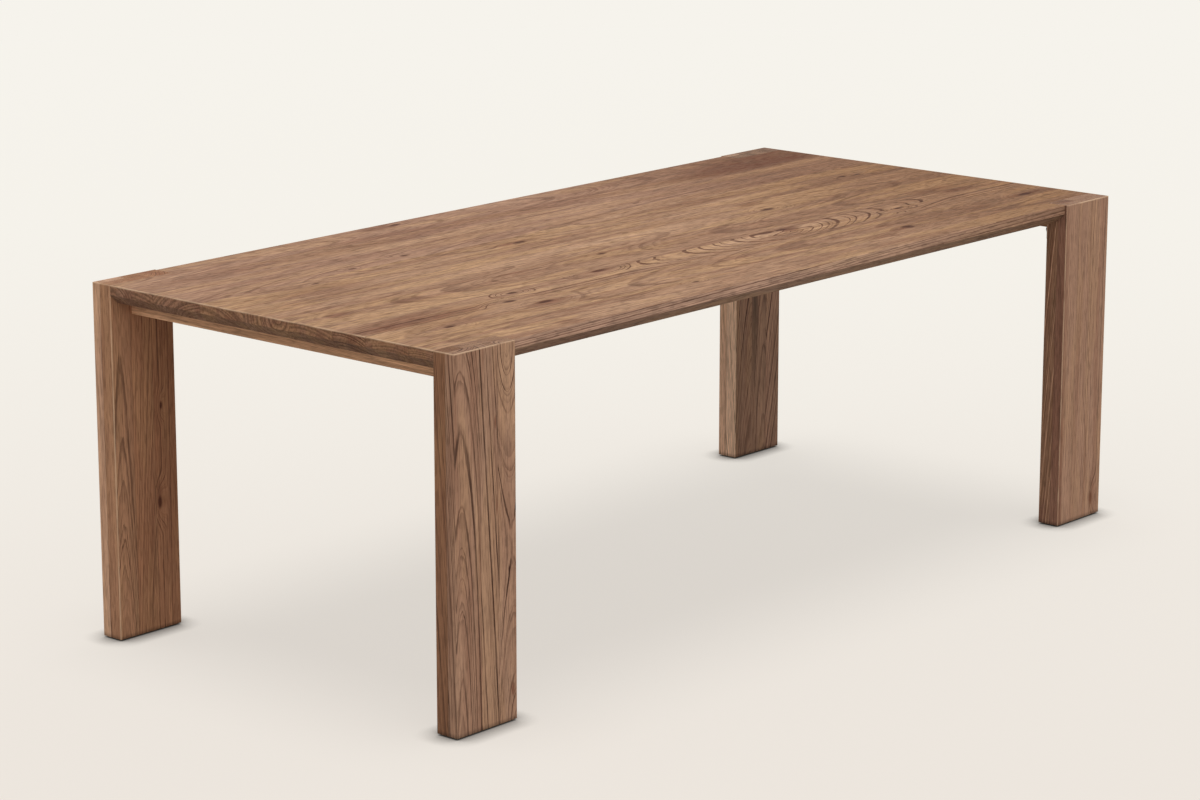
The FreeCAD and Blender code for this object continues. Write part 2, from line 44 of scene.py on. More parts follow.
class Wire:  # one shader socket that takes part in sums
    def __init__(self, tree, socket=None):
        self.tree = tree
        self.socket = socket

    def node(self, kind, settings=None, sockets=None, output=0):
        made = self.tree.nodes.new(kind)
        for key, setting in (settings or {}).items():
            setattr(made, key, setting)
        for key, value in (sockets or {}).items():
            if isinstance(value, Wire):
                self.tree.links.new(value.socket, made.inputs[key])
            else:
                made.inputs[key].default_value = value
        return Wire(self.tree, made.outputs[output] if made.outputs else None)

    def other(self, output):
        return Wire(self.tree, self.socket.node.outputs[output])

    def sum(self, operation, *values):
        return self.node("ShaderNodeMath", {"operation": operation}, dict(enumerate(values)))

    def __add__(self, value):
        return self.sum("ADD", self, value)

    def __radd__(self, value):
        return self.sum("ADD", value, self)

    def __sub__(self, value):
        return self.sum("SUBTRACT", self, value)

    def __rsub__(self, value):
        return self.sum("SUBTRACT", value, self)

    def __mul__(self, value):
        return self.sum("MULTIPLY", self, value)

    def __pow__(self, value):
        return self.sum("POWER", self, value)

    def __abs__(self):
        return self.sum("ABSOLUTE", self)

    def ease(self, start, end, kind="SMOOTHSTEP"):  # 0 before start, 1 past end, smooth between
        limits = {"Value": self, "From Min": start, "From Max": end}
        return self.node("ShaderNodeMapRange", {"interpolation_type": kind}, limits)

    def larger(self, value):
        return self.sum("MAXIMUM", self, value)

    def smaller(self, value):
        return self.sum("MINIMUM", self, value)

    def atLeast(self, least):  # from 0 to 1 becomes from least to 1
        return self * (1 - least) + least

    def fraction(self):  # what is left past the last whole number
        return self.sum("FRACT", self)

    def whole(self):
        return self.sum("FLOOR", self)

    def stretch(self, scale, offset=(0, 0, 0)):
        sockets = {0: self, 1: scale, 2: offset}
        return self.node("ShaderNodeVectorMath", {"operation": "MULTIPLY_ADD"}, sockets)

    def along(self, direction):  # how far a point lies in a direction
        sockets = {0: self, 1: direction}
        return self.node("ShaderNodeVectorMath", {"operation": "DOT_PRODUCT"}, sockets, "Value")

    def length(self):
        return self.node("ShaderNodeVectorMath", {"operation": "LENGTH"}, {0: self}, "Value")

    def noise(self, detail, output="Fac"):
        return self.node("ShaderNodeTexNoise", {}, {"Vector": self, "Scale": 1.0, "Detail": detail}, output)

    def noiseAlong(self):  # noise on a single number
        sockets = {"W": self, "Scale": 1.0, "Detail": 1.0}
        return self.node("ShaderNodeTexNoise", {"noise_dimensions": "1D"}, sockets)

    def chance(self):  # the same random number all along one ring
        return self.node("ShaderNodeTexWhiteNoise", {"noise_dimensions": "1D"}, {"W": self})

    def tint(self, base, over):  # this value is the share of the second colour
        return self.node("ShaderNodeMix", {"data_type": "RGBA"}, {0: self, 6: base, 7: over}, 2)

    def shade(self, amount):  # a colour made darker or lighter
        return self.node("ShaderNodeVectorMath", {"operation": "SCALE"}, {"Vector": self, "Scale": amount})


def colour(red, green, blue):
    channels = [part / 255 for part in (red, green, blue)]
    linear = [part / 12.92 if part <= 0.04045 else ((part + 0.055) / 1.055) ** 2.4 for part in channels]
    return (*linear, 1.0)


def newMaterial(name):
    material = bpy.data.materials.new(name)
    material.use_nodes = True
    material.node_tree.nodes.clear()
    return material, Wire(material.node_tree)


def bump(wire, marks, height):
    return wire.node("ShaderNodeBump", {}, {
        "Strength": marks["relief"],
        "Distance": marks["reliefDepth"],
        "Height": height,
    })


def finishSurface(wire, sockets):
    surface = wire.node("ShaderNodeBsdfPrincipled", {}, sockets)
    wire.node("ShaderNodeOutputMaterial", {}, {"Surface": surface})


def dressNode(node, material):
    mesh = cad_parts[node].data
    mesh.materials.clear()
    mesh.materials.append(material)


# elm: yearly rings round a pith line, worked out in the solid, so that faces, edges and ends agree
elm = {
    "pale": (189, 151, 121),
    "deep": (148, 111, 86),
    "gold": (198, 158, 114),
    "line": (62, 37, 28),
    "knot": (72, 34, 22),
    "streak": (122, 79, 60),
    # pale colour of a rubbed arris, which also paints the highlight its rounding catches
    "wornHighlight": (212, 180, 150),
    "pith": (0.01, -0.09),      # across and through the piece, from its middle
    "lean": (0.0, 0.045),       # how fast the pith line runs off
    "bow": 0.0,                 # how much it curves, which closes the arches
    "bowAt": 0.0,               # where along the table or leg it comes nearest
    "swell": None,              # where a branch lifts the rings, how far it reaches and how high
    "ringWidth": 0.0062,
    "ringStrength": 0.95,
    "even": 0.0,                # 0: a few rings stand out, 1: all of them do
    "thin": 0.76,               # how much of a ring goes by before its dark line
    "tipThin": 0.0,             # and how much later that is where an arch turns
    "fineRings": 0.45,          # weaker lines between the rings
    "edgeLines": 0.0,           # lines on a sawn edge
    "golden": 0.15,
    "wander": 0.012,
    "ripple": 0.0007,
    "tone": 0.7,
    "streaks": 0.3,
    "fibre": 1.0,
    "pores": 0.26,
    "coarse": 1.0,              # how much wider the fibres are
    "flecks": 0.25,
    "mottle": 0.0,
    "knots": (),                # along, across, size
    "patches": (),              # along, across, length, width, how much darker
    "fade": None,               # what the far end of the top keeps of red, green and blue
    "fadeReach": 1.3,           # how far that is from the middle of the table
    "edge": (186, 154, 136),    # colour of a sawn edge, bleached, and on the back right leg painted light on a shaded side; and how much of it shows
    "edgeShare": 0.0,
    "endGrain": 0.85,           # how bright the sawn ends are
    "end": (142, 92, 68),       # and their own colour
    "endShare": 0.0,
    "wornHighlightShare": 0.4,
    "middle": None,             # pieces from one plank share a middle and a seed
    "seed": 0.0,
}

# the marks in the wood: how fast each changes along the grain and across it, per metre, how much detail it
# has, and in which part of its noise it shows
figure = {
    "drift": {"rate": (1.1, 8), "detail": 1},
    "ripple": {"rate": (30, 120), "detail": 2},
    "fibre": {"rate": (12, 310), "detail": 2},
    "pores": {"rate": (32, 430), "detail": 1, "shows": (0.5, 0.62)},
    "flecks": {"rate": (20, 340), "detail": 2, "shows": (0.56, 0.68)},
    "mottle": {"rate": (150, 260), "detail": 1},
    "tone": {"rate": (1.8, 17), "detail": 3},
    "streaks": {"rate": (2.0, 52), "detail": 4, "shows": (0.52, 0.64)},
    "gold": {"rate": (2.6, 22), "detail": 3, "shows": (0.47, 0.57)},
    "fading": {"rate": (9, 60), "detail": 2, "shows": (0.3, 0.6)},
    "rubbing": {"rate": (14, 14), "detail": 2, "shows": (0.3, 0.6)},
}

rings = {
    "uneven": 2.6,              # how much the width of the rings changes, and how soon
    "unevenRate": 0.31,
    "lineSoft": 0.08,           # share of a ring over which its dark line sets in
    "lineEnd": 0.94,            # and where it starts to go again
    "bold": (0.42, 0.78),       # which of the random strengths stand out
    "tip": (0.002, 0.016),      # how far to the side of the pith an arch turns
    "fineRate": 2.63,           # fine rings to one ring
    "fineStart": (0.35, 0.9),
    "fineEnd": 0.92,
    "knotLength": 0.4,          # under 1, a knot pushes the rings further along than across
    "knotReach": 4.0,           # in sizes of the knot
    "knotPush": 2.4,
    "knotCore": 0.35,
    "knotShare": 0.9,
}

# how the marks add up to the colour of a face
blend = {
    "sideways": (0.5, 0.9),     # how squarely a face looks sideways or along the grain
    "downwards": (0.3, 0.7),
    "tone": 2.6,
    "ringTone": 0.2,            # a ring gets darker towards its line
    "faintRing": 0.2,           # what the weakest ring keeps of its line
    "fadedLine": 0.6,           # and what a line keeps where it fades
    "patchWander": (0.12, 0.05, 0.0),   # so that no patch is a plain oval
    "patchCore": 0.15,
    "patchFibre": (0.35, 0.6),  # the fibres that stay visible in a dark patch
    "patchFibreShare": 0.4,
    "patchShare": 0.5,
    "endSmooth": 0.7,           # how little the fibres show on a sawn end
    "lift": 0.08,               # makes up for what the pores take away
    "bandStart": (0.05, 0.4),   # the open band of a ring, sawn across
    "bandEnd": (0.5, 0.85),
    "endDark": 1.35,            # how dark the end is between those bands
}

wearAndPaintedLight = {
    "rim": 0.0035,              # how far in from the edge of the top it is rubbed and painted with a highlight
    "corner": 0.003,            # and from the corner of a leg
    "edge": 0.0003,             # and where it is rubbed through, with the strongest painted highlight
    "seam": (0.0002, 0.0011),   # half the width of a seam between two pieces, and its soft side
    "seamShade": 0.3,
    "outside": 0.007,           # a side this near the table's own box is no seam
    "legOutside": 0.001,
    "paintedFootShade": (0.004, 0.014),    # painted shade: the feet darken up to here, just above the floor
    "paintedFootShadeShare": 0.45,
    "paintedUnderShade": 0.35,         # painted shade on faces that look down
    "rubbedShare": 0.3,         # how pale, from wear and painted highlight, an arris gets where it is least rubbed
    "rubbedUneven": 0.5,
}

sheen = {
    "roughness": 0.68,
    "poresRough": 0.12,
    "fibreRough": 0.25,
    "wornSmooth": 0.06,
    "specular": 0.15,
    "relief": 0.35,
    "reliefDepth": 0.0004,
    "poresSink": 0.6,           # shares of that depth
    "linesSink": 0.5,
    "fibreRise": 0.5,
}

tableLow, tableHigh = cadBox[0], cadBox[1]
white = (1, 1, 1, 1)


def nearSide(position, low, high, reach):  # 1 at either side of a box along one axis
    half = (high - low) / 2
    return abs(position - (low + high) / 2).ease(half - reach, half - wearAndPaintedLight["edge"])


def markNoise(kind, timber, offset, coarse=1.0, output="Fac"):
    mark = figure[kind]
    along, across = mark["rate"]
    noise = timber.stretch((along, across / coarse, across / coarse), offset).noise(mark["detail"], output)
    return noise.ease(*mark["shows"]) if "shows" in mark else noise


# the rings, swung about by slow noise, rippled by quick noise and pushed aside by knots
def ringFigure(wood, timber, directions, middle):
    seed = wood["seed"]
    along, across, through = directions
    alongAt, acrossAt = middle
    drift = markNoise("drift", timber, (seed, seed * 1.7, 3), output="Color")
    swing = timber.node("ShaderNodeSeparateXYZ", {}, {"Vector": drift})
    pithAcross, pithThrough = wood["pith"]
    leanAcross, leanThrough = wood["lean"]
    sideways = across - along * leanAcross - pithAcross + (swing - 0.5) * wood["wander"]
    inward = through - along * leanThrough - pithThrough + (swing.other("Y") - 0.5) * wood["wander"]
    if wood["bow"]:
        fromNearest = along - (wood["bowAt"] - alongAt)
        inward = inward - fromNearest * fromNearest * wood["bow"]
    if wood["swell"]:
        swellAt, reach, lift = wood["swell"]
        closeness = 1 - abs(along - (swellAt - alongAt)).ease(0, reach, "LINEAR")
        inward = inward - closeness * closeness * lift
    radius = (sideways * sideways + inward * inward) ** 0.5
    radius = radius + (markNoise("ripple", timber, (seed, 2, seed)) - 0.5) * wood["ripple"] * 2

    heart = None
    stretched = rings["knotLength"]
    for knotAlong, knotAcross, size in wood["knots"]:
        here = (-stretched * (knotAlong - alongAt), -(knotAcross - acrossAt), 0)
        away = timber.stretch((stretched, 1, 0), here).length()
        radius = radius + (1 - away.ease(0, size * rings["knotReach"])) * size * rings["knotPush"]
        core = 1 - away.ease(size * rings["knotCore"], size)
        heart = core if heart is None else heart.larger(core)

    phase = radius * (1 / wood["ringWidth"])
    phase = phase + (phase * rings["unevenRate"] + seed).noiseAlong() * rings["uneven"]
    turn = phase.fraction()
    tip = 1 - abs(sideways).ease(*rings["tip"])  # where an arch turns, the saw runs along the ring
    start = tip * wood["tipThin"] + wood["thin"]
    latewood = turn.ease(start, start + rings["lineSoft"]) * (1 - turn.ease(rings["lineEnd"], 1.0))
    strength = phase.whole().chance().ease(*rings["bold"]).larger(wood["even"])
    fine = phase * rings["fineRate"] + seed
    fineTurn = fine.fraction()
    fineRing = fineTurn.ease(*rings["fineStart"]) * (1 - fineTurn.ease(rings["fineEnd"], 1.0))
    return {
        "drift": drift, "heart": heart, "turn": turn, "latewood": latewood, "strength": strength,
        "fineRing": fineRing * fine.whole().chance(),
    }


def darkPatches(wood, timber, drift, middle):
    alongAt, acrossAt = middle
    if not wood["patches"]:
        return None
    dark = None
    wandering = drift.stretch(blend["patchWander"], [-reach / 2 for reach in blend["patchWander"]])
    for patchAlong, patchAcross, length, width, amount in wood["patches"]:
        here = (-(patchAlong - alongAt) / length, -(patchAcross - acrossAt) / width, 0)
        away = timber.stretch((1, 1, 1), wandering).stretch((1 / length, 1 / width, 0), here).length()
        patch = (1 - away.ease(blend["patchCore"], 1.0)) * amount
        dark = patch if dark is None else dark + patch
    return dark


def seamLines(position, low, high, joints, leg):  # on the sides that meet another piece
    seam = None
    outer, near = (leg, wearAndPaintedLight["legOutside"]) if leg else ((tableLow, tableHigh), wearAndPaintedLight["outside"])
    for axis in joints:
        at = "XYZ".index(axis)
        for side in (low[at], high[at]):
            if min(abs(side - outer[0][at]), abs(side - outer[1][at])) < near:
                continue
            touch = 1 - abs(position[axis] - side).ease(*wearAndPaintedLight["seam"])
            seam = touch if seam is None else seam.larger(touch)
    return seam


def wornHighlitArrises(position, leg, wornHighlightShare):  # worn and painted highlight round the top, and up the corners of a leg
    rim = nearSide(position["X"], tableLow.x, tableHigh.x, wearAndPaintedLight["rim"])
    rim = rim.larger(nearSide(position["Y"], tableLow.y, tableHigh.y, wearAndPaintedLight["rim"]))
    arris = rim * position["Z"].ease(tableHigh.z - wearAndPaintedLight["rim"], tableHigh.z - wearAndPaintedLight["edge"])
    if leg is None:
        return arris
    corner = nearSide(position["X"], leg[0].x, leg[1].x, wearAndPaintedLight["corner"])
    corner = corner * nearSide(position["Y"], leg[0].y, leg[1].y, wearAndPaintedLight["corner"])
    return arris.larger(corner * wornHighlightShare)


def elmMaterial(node, grain, recipe, leg=None, joints=""):
    wood = {**elm, **recipe}
    seed = wood["seed"]
    low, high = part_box(node)
    middle = Vector(wood["middle"]) if wood["middle"] else (low + high) / 2
    material, wire = newMaterial("elm_" + node)
    place = wire.node("ShaderNodeTexCoord", output="Object")
    xyz = wire.node("ShaderNodeSeparateXYZ", {}, {"Vector": place})
    position = {"X": xyz, "Y": xyz.other("Y"), "Z": xyz.other("Z")}
    order = {"X": "XYZ", "Y": "YXZ", "Z": "ZXY"}[grain]  # along the grain, across it, through the piece
    alongAt, acrossAt, throughAt = [middle["XYZ".index(axis)] for axis in order]
    along = position[order[0]] - alongAt
    across = position[order[1]] - acrossAt
    through = position[order[2]] - throughAt
    timber = wire.node("ShaderNodeCombineXYZ", {}, {"X": along, "Y": across, "Z": through})

    normal = wire.node("ShaderNodeTexCoord", output="Normal")
    facing = wire.node("ShaderNodeSeparateXYZ", {}, {"Vector": normal})
    endFace = abs(facing.other(grain)).ease(*blend["sideways"])
    sideFace = abs(facing.other(order[1])).ease(*blend["sideways"])
    under = (facing.other("Z") * -1).ease(*blend["downwards"])

    # fibres and pores run with the grain, tone drifts over the whole piece, and the lines come and go
    ring = ringFigure(wood, timber, (along, across, through), (alongAt, acrossAt))
    dark = darkPatches(wood, timber, ring["drift"], (alongAt, acrossAt))
    fibre = markNoise("fibre", timber, (seed, 0, 0), wood["coarse"])
    pores = markNoise("pores", timber, (0, seed, 0), wood["coarse"])
    flecks = markNoise("flecks", timber, (2, seed, 5), wood["coarse"])
    fading = markNoise("fading", timber, (seed, 7, 0))

    # the wood's own colour, before its lines
    toneNoise = markNoise("tone", timber, (seed, seed, 0))
    tone = (toneNoise - 0.5) * (blend["tone"] * wood["tone"]) + 0.5 - ring["turn"] * blend["ringTone"]
    if dark is not None:
        tone = tone - dark
    tinted = tone.larger(0.0).smaller(1.0).tint(colour(*wood["deep"]), colour(*wood["pale"]))
    golden = markNoise("gold", timber, (3, seed, seed)) * wood["golden"]
    tinted = golden.tint(tinted, colour(*wood["gold"]))
    streaky = markNoise("streaks", timber, (0, seed, seed)) * wood["streaks"]
    if dark is not None:
        inPatch = fibre.ease(*blend["patchFibre"]) * blend["patchFibreShare"] + blend["patchShare"]
        streaky = streaky.larger(dark * inPatch)
    tinted = streaky.tint(tinted, colour(*wood["streak"]))
    tinted = (endFace * wood["endShare"]).tint(tinted, colour(*wood["end"]))
    if wood["edgeShare"]:
        tinted = (sideFace * wood["edgeShare"]).tint(tinted, colour(*wood["edge"]))

    # dark lines and knots over it
    latewood = ring["latewood"]
    lines = latewood * ring["strength"].atLeast(blend["faintRing"])
    lines = lines * fading.atLeast(blend["fadedLine"]) * wood["ringStrength"]
    lines = lines.larger(ring["fineRing"] * wood["fineRings"])
    lines = lines.larger(latewood * sideFace * wood["edgeLines"])
    lines = lines.larger(flecks * wood["flecks"])
    lined = lines.tint(tinted, colour(*wood["line"]))
    if ring["heart"] is not None:
        lined = (ring["heart"] * rings["knotShare"]).tint(lined, colour(*wood["knot"]))

    # light and dark of the fibres, the sawn ends and the seams, and painted shade underneath and at the
    # feet
    depth = 1 + (fibre - 0.5) * wood["fibre"] * (1 - endFace * blend["endSmooth"])
    depth = depth - pores * wood["pores"] + blend["lift"]
    if wood["mottle"]:
        depth = depth + (markNoise("mottle", timber, (seed, 1, 2)) - 0.5) * wood["mottle"]
    band = ring["turn"].ease(*blend["bandStart"]) * (1 - ring["turn"].ease(*blend["bandEnd"]))
    depth = depth * (1 - endFace * (blend["endDark"] - band) * (1 - wood["endGrain"]))
    # painted shade: faces that look down are darkened
    depth = depth * (1 - under * wearAndPaintedLight["paintedUnderShade"])
    seam = seamLines(position, low, high, joints, leg)
    if seam is not None:
        depth = depth * (1 - seam * wearAndPaintedLight["seamShade"])
    grained = lined.shade(depth)
    if wood["fade"]:
        farther = position[order[0]].ease(0.0, wood["fadeReach"])
        grained = grained.stretch(farther.tint(white, (*wood["fade"], 1)))
    # painted shade: the feet are darkened just above the floor, but not on their undersides
    paintedFootShade = (1 - position["Z"].ease(*wearAndPaintedLight["paintedFootShade"])) * (1 - under)
    grained = grained.shade(1 - paintedFootShade * wearAndPaintedLight["paintedFootShadeShare"])

    # painted highlight and wear: arrises are paled towards this colour, for rubbing and for the light their
    # rounding catches
    arris = wornHighlitArrises(position, leg, wood["wornHighlightShare"])
    rubbed = markNoise("rubbing", timber, (seed, 5, 1))
    rubbed = rubbed * wearAndPaintedLight["rubbedUneven"] + wearAndPaintedLight["rubbedShare"]
    wornHighlight = (arris * rubbed).tint(grained, colour(*wood["wornHighlight"]))

    height = pores * -sheen["poresSink"] - lines * sheen["linesSink"] + fibre * sheen["fibreRise"]
    rough = pores * sheen["poresRough"] + (fibre - 0.5) * sheen["fibreRough"] - arris * sheen["wornSmooth"]
    finishSurface(wire, {
        "Base Color": wornHighlight,
        "Roughness": rough + sheen["roughness"],
        "Normal": bump(wire, sheen, height),
        "Specular IOR Level": sheen["specular"],
    })
    dressNode(node, material)


# the top: two of its boards come from one wide plank, whose ring pattern runs over their seam
plank = {
    "ringWidth": 0.009, "ringStrength": 0.45, "thin": 0.68, "fineRings": 0.4, "line": (92, 57, 41),
    "endGrain": 0.7, "endShare": 0.4, "fade": (0.66, 0.58, 0.49), "golden": 0.4, "tone": 0.85,
    "streaks": 0.32, "coarse": 2.1,
}
sharedPlank = {
    "middle": (0.0, -0.2325, 0.74), "pith": (0.022, -0.125), "lean": (0.0, 0.0), "seed": 7.7,
    "swell": (0.277, 0.6, 0.11), "ringWidth": 0.0085, "ringStrength": 1.0, "even": 0.9, "wander": 0.008,
    "thin": 0.74, "line": (88, 50, 33), "golden": 0.3, "gold": (208, 166, 120),
}
rosy = {"pale": (186, 148, 122), "deep": (150, 113, 91), "golden": 0.25}
boards = {
    "top_board_01": {
        "pith": (0.02, -0.12), "lean": (0.004, 0.02), "seed": 1.3, "ringWidth": 0.005, "edgeLines": 0.7,
        "edgeShare": 0.6,
        "knots": ((0.488, -0.394, 0.008), (-0.284, -0.42, 0.006)),
        "patches": ((-0.74, -0.48, 0.06, 0.03, 0.5), (0.488, -0.394, 0.07, 0.014, 0.9),
                    (0.38, -0.414, 0.06, 0.02, 0.4)),
    },
    "top_board_02": {
        "pith": (-0.01, -0.10), "lean": (0.0, 0.075), "seed": 4.1,
        "knots": ((-0.928, -0.337, 0.009), (-0.63, -0.318, 0.013), (0.488, -0.384, 0.011),
                  (0.992, -0.35, 0.013)),
        "patches": ((-0.632, -0.325, 0.09, 0.02, 0.6), (-0.93, -0.3, 0.2, 0.05, 0.3),
                    (-0.1, -0.3, 0.5, 0.03, 0.2), (0.488, -0.386, 0.09, 0.012, 0.9),
                    (0.98, -0.35, 0.1, 0.014, 0.9), (0.764, -0.378, 0.08, 0.03, 0.3)),
    },
    "top_board_03": {
        **sharedPlank,
        "knots": ((-0.678, -0.264, 0.010), (0.652, -0.238, 0.010)),
        "patches": ((-0.93, -0.25, 0.26, 0.05, 0.9), (0.34, -0.236, 0.05, 0.02, -1.2),
                    (0.5, -0.24, 0.14, 0.02, -0.6)),
    },
    "top_board_04": {
        **sharedPlank,
        "knots": ((0.272, -0.2, 0.012), (-0.615, -0.212, 0.009), (-0.332, -0.195, 0.013)),
        "patches": ((-0.332, -0.192, 0.05, 0.02, 0.6), (-0.93, -0.22, 0.2, 0.03, 0.4),
                    (0.34, -0.216, 0.05, 0.03, -1.4), (0.272, -0.2, 0.04, 0.03, 0.9),
                    (0.93, -0.188, 0.1, 0.03, 0.8), (0.1, -0.21, 0.16, 0.03, -0.8)),
    },
    "top_board_05": {
        "pith": (0.02, -0.14), "lean": (-0.006, 0.075), "seed": 12.2,
        "knots": ((-0.188, -0.08, 0.008),),
        "patches": ((-0.45, -0.078, 0.12, 0.009, 0.8), (-0.998, -0.108, 0.05, 0.035, 0.7),
                    (-0.79, -0.104, 0.06, 0.03, 0.7), (0.9, -0.16, 0.14, 0.03, 0.5)),
    },
    "top_board_06": {
        "pith": (-0.03, -0.06), "lean": (0.004, -0.075), "seed": 15.4,
        "knots": ((0.446, -0.024, 0.012),),
        "patches": ((0.476, 0.042, 0.07, 0.025, 0.7), (-0.3, 0.0, 0.6, 0.04, -0.3)),
    },
    "top_board_07": {
        "pith": (0.06, -0.1), "lean": (0.0, 0.07), "seed": 18.6,
        "knots": ((-0.812, 0.152, 0.006), (0.896, 0.11, 0.009), (0.944, 0.1, 0.007),
                  (-0.212, 0.138, 0.010)),
        "patches": ((-0.212, 0.136, 0.11, 0.018, 0.9), (0.5, 0.12, 0.24, 0.025, -0.8),
                    (-0.85, 0.1, 0.2, 0.05, 0.4)),
    },
    "top_board_08": {
        **rosy, "pith": (-0.08, -0.06), "lean": (0.005, 0.07), "seed": 21.9,
        "knots": ((-0.654, 0.204, 0.006), (-0.48, 0.222, 0.007), (0.308, 0.252, 0.006)),
        "patches": ((0.6, 0.2, 0.5, 0.03, 0.3),),
    },
    "top_board_09": {
        **rosy, "pith": (0.05, -0.11), "lean": (0.003, 0.07), "seed": 25.3,
        "patches": ((0.0, 0.38, 1.4, 0.04, 0.4), (0.95, 0.38, 0.5, 0.07, 1.2)),
    },
    "top_board_10": {
        **rosy, "pith": (0.0, -0.1), "lean": (0.0, -0.07), "seed": 28.8,
        "knots": ((-0.246, 0.479, 0.009),),
        "patches": ((0.0, 0.4, 1.4, 0.03, 0.4), (-0.28, 0.485, 0.08, 0.03, 0.5),
                    (0.95, 0.42, 0.4, 0.1, 1.0)),
    },
}
for node, recipe in boards.items():
    elmMaterial(node, "X", {**plank, **recipe}, joints="Y")
print("top boards finished:", len(boards))

# the legs: stave 1 stands at the table's end
legWood = {
    "lean": (0.004, 0.08), "thin": 0.78, "tipThin": 0.1, "even": 0.2, "fibre": 0.8, "flecks": 0.12,
}
corners = ("front_left", "front_right", "back_left", "back_right")
legTones = {
    "front_left": {"pale": (179, 143, 118), "deep": (152, 114, 92), "ringStrength": 1.0, "wornHighlightShare": 0.1},
    "front_right": {
        "pale": (178, 140, 116), "deep": (160, 124, 102), "ringStrength": 0.4, "wornHighlightShare": 0.8,
    },
    "back_left": {"pale": (187, 137, 104), "deep": (152, 105, 77), "wornHighlightShare": 0.9, "endGrain": 0.92},
    "back_right": {"pale": (172, 135, 110), "deep": (136, 104, 85), "wornHighlightShare": 0.3, "endGrain": 0.7},
}
straight = {
    "pith": (0.12, 0.03), "lean": (0.012, 0.0), "ringWidth": 0.0052, "thin": 0.66, "ringStrength": 0.7,
    "tone": 0.8,
}
dull = {"pale": (154, 112, 84), "deep": (128, 90, 66), "ringStrength": 0.8}
# pale wood; on the back right leg it also paints light on a side shaded under the top
paleAndPaintedLight = {"pale": (232, 190, 160), "deep": (210, 168, 140), "ringStrength": 0.4}
calm = {
    "pith": (0.05, 0.045), "lean": (0.03, 0.03), "ringWidth": 0.0048, "thin": 0.68, "ringStrength": 0.6,
    "fineRings": 0.6, "even": 0.1,
}
staves = {
    "leg_front_left_outer_stave_1": {
        "pith": (-0.019, 0.032), "lean": (0.0, 0.062), "bow": 0.03, "bowAt": 0.38, "wander": 0.005,
        "thin": 0.72, "tipThin": 0.18, "even": 0.6,
    },
    "leg_front_left_outer_stave_2": {
        "pith": (-0.09, 0.03), "lean": (-0.06, 0.0), "ringWidth": 0.008, "wander": 0.01, "thin": 0.66,
        "tipThin": 0.0,
        "patches": ((0.61, -0.985, 0.02, 0.004, 0.9), (0.43, -0.985, 0.03, 0.004, 0.9)),
    },
    "leg_front_left_outer_stave_3": {
        "pith": (0.014, 0.05), "lean": (-0.043, 0.0), "bow": -0.4, "bowAt": 0.36, "ringWidth": 0.011,
        "mottle": 0.25, "tipThin": 0.14, "even": 0.3,
        "patches": ((0.064, -0.942, 0.02, 0.008, 0.9),),
    },
    "leg_front_left_inner_stave_1": dull,
    "leg_front_right_outer_stave_1": {
        **straight, "pith": (-0.1, 0.03), "knot": (118, 76, 56),
        "knots": ((0.045, 1.064, 0.009),),
        "patches": ((0.05, 1.07, 0.08, 0.022, 0.6),),
    },
    "leg_front_right_outer_stave_2": straight,
    "leg_front_right_outer_stave_3": {
        **straight, "edge": (142, 102, 84), "edgeShare": 0.8,
        "patches": ((0.38, 0.93, 1.5, 0.012, 0.9),),
    },
    "leg_front_right_inner_stave_3": {
        "pale": (132, 93, 75), "deep": (98, 68, 55), "pith": (-0.01, -0.08), "lean": (0.0, -0.09),
        "tone": 1.2, "ringWidth": 0.0085, "thin": 0.72, "ringStrength": 1.0, "line": (204, 158, 130),
    },
    "leg_back_left_outer_stave_1": {**paleAndPaintedLight, "pale": (198, 155, 124)},
    "leg_back_left_inner_stave_1": {
        **calm, "pale": (190, 144, 112), "deep": (160, 116, 88), "pith": (-0.01, 0.045),
        "lean": (0.0, 0.028), "tipThin": 0.12,
    },
    "leg_back_left_inner_stave_2": calm,
    "leg_back_left_inner_stave_3": {
        **calm, "pith": (-0.06, 0.04),
        "knots": ((0.485, -0.971, 0.005), (0.278, -0.981, 0.008)),
        "patches": ((0.278, -0.981, 0.03, 0.008, 0.8),),
    },
    # painted light: the back right leg's narrow side, shaded under the top, gets pale wood and a very pale
    # edge colour to look lit
    "leg_back_right_outer_stave_3": {**paleAndPaintedLight, "endGrain": 0.5},
    "leg_back_right_inner_stave_3": {"edgeShare": 0.9, "edge": (246, 206, 175), "endGrain": 0.6},
    "leg_back_right_inner_stave_2": {
        "lean": (-0.02, 0.03), "even": 0.5, "streak": (84, 66, 54),
        "patches": ((0.5, 1.0, 0.4, 0.014, 1.1),),
    },
    "leg_back_right_inner_stave_1": {
        "pale": (182, 142, 118), "pith": (0.1, 0.03), "lean": (0.2, 0.0), "ringWidth": 0.009,
        "thin": 0.7, "even": 0.4,
    },
}
seeds = {"first": 40, "leg": 11.3, "stave": 1.9}
pithSteps = {"first": -0.03, "stave": 0.012, "depth": 0.06}  # each stave lies a little further off its pith
for cornerNumber, corner in enumerate(corners):
    layers = [f"leg_{corner}_{layer}_stave_" for layer in ("outer", "inner")]
    names = [layer + str(number) for layer in layers for number in (1, 2, 3)]
    boxes = [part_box(name) for name in names]
    legLow = boxes[0][0].copy()
    legHigh = boxes[0][1].copy()
    for low, high in boxes:
        for at in range(3):
            legLow[at] = min(legLow[at], low[at])
            legHigh[at] = max(legHigh[at], high[at])
    for number, name in enumerate(names):
        pith = (pithSteps["stave"] * number + pithSteps["first"], pithSteps["depth"])
        seed = seeds["first"] + cornerNumber * seeds["leg"] + number * seeds["stave"]
        common = {"pith": pith, "seed": seed}
        recipe = {**legWood, **legTones[corner], **common, **staves.get(name, {})}
        elmMaterial(name, "Z", recipe, leg=(legLow, legHigh), joints="XY")
print("legs finished")

